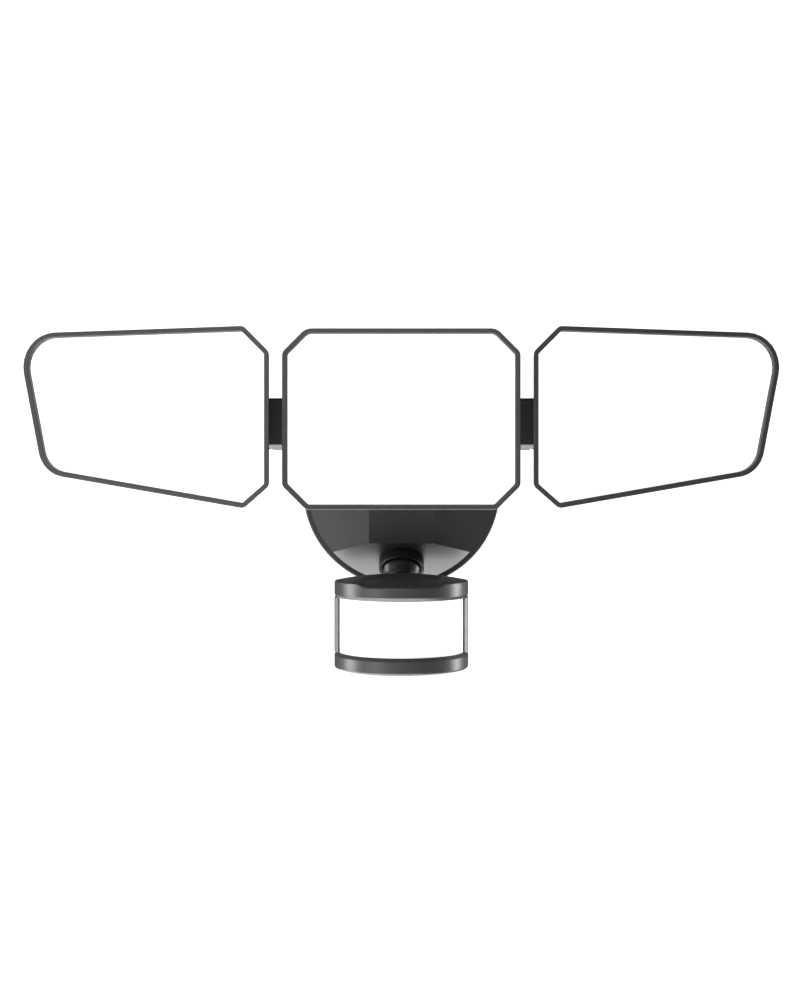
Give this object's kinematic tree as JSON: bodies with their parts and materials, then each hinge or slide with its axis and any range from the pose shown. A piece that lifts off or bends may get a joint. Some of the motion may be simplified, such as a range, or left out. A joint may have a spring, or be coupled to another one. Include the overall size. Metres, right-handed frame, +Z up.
{
  "type": "motion sensor security light",
  "caption": "Wall security light with flat LED heads on a faceted round canopy, tilting and panning on hinged arms, over a ball-jointed motion sensor.",
  "frame": {"origin": "centre of the canopy's back, on the wall", "axes": "+Z up, +Y into the wall, +X to the viewer's right; the light faces -Y"},
  "size_m": [0.4448, 0.1263, 0.2061],
  "materials": {
    "coated_casting": "charcoal powder coat, fine satin texture",
    "case_plastic": "charcoal satin moulded plastic",
    "dark_plastic": "black moulded plastic",
    "opal_lens": "opal white diffuser, satin",
    "pir_film": "white moulded film with fine lens cells",
    "seal_rubber": "black foam rubber",
    "zinc_steel": "zinc plated",
    "black_steel": "black oxide",
    "white_board": "white solder mask",
    "green_board": "green solder mask",
    "led_chip": "yellow phosphor",
    "nylon": "natural nylon",
    "sensor_can": "nickel plated",
    "wire_cap": "orange moulded",
    "wire_cover": "insulation"
  },
  "bodies": {
    "base": {"canopy_shell": "coated_casting", "wall_gasket": "seal_rubber", "mounting_bracket": "zinc_steel", "canopy_screws": "black_steel", "ground_screw": "zinc_steel", "led_driver": "dark_plastic", "wire_connectors": "wire_cap", "supply_leads": "wire_cover", "bridge_casting": "coated_casting", "bridge_screws": "zinc_steel", "centre_hinge_bolt": "black_steel", "centre_hinge_nut": "black_steel", "socket_collar": "dark_plastic", "socket_retainer": "dark_plastic", "retainer_screws": "zinc_steel", "left_arm_washer": "nylon", "right_arm_washer": "nylon"},
    "centre_head": {"centre_bezel": "coated_casting", "centre_lens": "opal_lens", "centre_lens_gasket": "seal_rubber", "centre_heat_sink": "coated_casting", "centre_led_board": "white_board", "centre_leds": "led_chip", "centre_knuckle": "coated_casting", "centre_knuckle_screws": "black_steel"},
    "left_link": {"left_arm": "coated_casting", "left_pivot_rivet": "black_steel"},
    "left_head": {"left_bezel": "coated_casting", "left_lens": "opal_lens", "left_lens_gasket": "seal_rubber", "left_heat_sink": "coated_casting", "left_led_board": "white_board", "left_leds": "led_chip", "left_knuckle": "coated_casting", "left_knuckle_screws": "black_steel"},
    "right_link": {"right_arm": "coated_casting", "right_pivot_rivet": "black_steel"},
    "right_head": {"right_bezel": "coated_casting", "right_lens": "opal_lens", "right_lens_gasket": "seal_rubber", "right_heat_sink": "coated_casting", "right_led_board": "white_board", "right_leds": "led_chip", "right_knuckle": "coated_casting", "right_knuckle_screws": "black_steel"},
    "ball_cup": {"ball_seat": "nylon"},
    "sensor": {"ball_stem": "dark_plastic", "stem_locknut": "dark_plastic", "sensor_top_cap": "case_plastic", "sensor_rear_case": "case_plastic", "sensor_bottom_cap": "case_plastic", "sensor_lens": "pir_film", "sensor_board": "green_board", "pyro_sensor": "sensor_can", "adjuster_controls": "dark_plastic"},
    "time_dial": {"time_knob": "dark_plastic"},
    "lux_dial": {"lux_knob": "dark_plastic"},
    "range_dial": {"range_knob": "dark_plastic"}
  },
  "joints": [
    {"name": "centre_head_tilt", "type": "hinge", "parent": "base", "child": "centre_head", "pos_m": [0, -0.0715, 0.039], "axis": [1, 0, 0], "range_deg": [-30, 45]},
    {"name": "left_arm_tilt", "type": "hinge", "parent": "base", "child": "left_link", "pos_m": [0, -0.0715, 0.039], "axis": [1, 0, 0], "range_deg": [-45, 60]},
    {"name": "left_head_pan", "type": "hinge", "parent": "left_link", "child": "left_head", "pos_m": [-0.0953, -0.0715, 0.039], "axis": [0, 0, -1], "range_deg": [-5, 30]},
    {"name": "right_arm_tilt", "type": "hinge", "parent": "base", "child": "right_link", "pos_m": [0, -0.0715, 0.039], "axis": [1, 0, 0], "range_deg": [-45, 60]},
    {"name": "right_head_pan", "type": "hinge", "parent": "right_link", "child": "right_head", "pos_m": [0.0953, -0.0715, 0.039], "axis": [0, 0, 1], "range_deg": [-5, 30]},
    {"name": "sensor_swivel", "type": "hinge", "parent": "base", "child": "ball_cup", "pos_m": [0, -0.02661, -0.05018], "axis": [0, -0.6756, -0.7373], "range_deg": [-40, 40]},
    {"name": "sensor_tilt", "type": "hinge", "parent": "ball_cup", "child": "sensor", "pos_m": [0, -0.02661, -0.05018], "axis": [1, 0, 0], "range_deg": [-20, 15]},
    {"name": "time_knob_turn", "type": "hinge", "parent": "sensor", "child": "time_dial", "pos_m": [-0.02, -0.059, -0.111], "axis": [0, 0, 1], "range_deg": [-135, 135]},
    {"name": "lux_knob_turn", "type": "hinge", "parent": "sensor", "child": "lux_dial", "pos_m": [0, -0.059, -0.111], "axis": [0, 0, 1], "range_deg": [-135, 135]},
    {"name": "range_knob_turn", "type": "hinge", "parent": "sensor", "child": "range_dial", "pos_m": [0.02, -0.059, -0.111], "axis": [0, 0, 1], "range_deg": [-135, 135]}
  ]
}
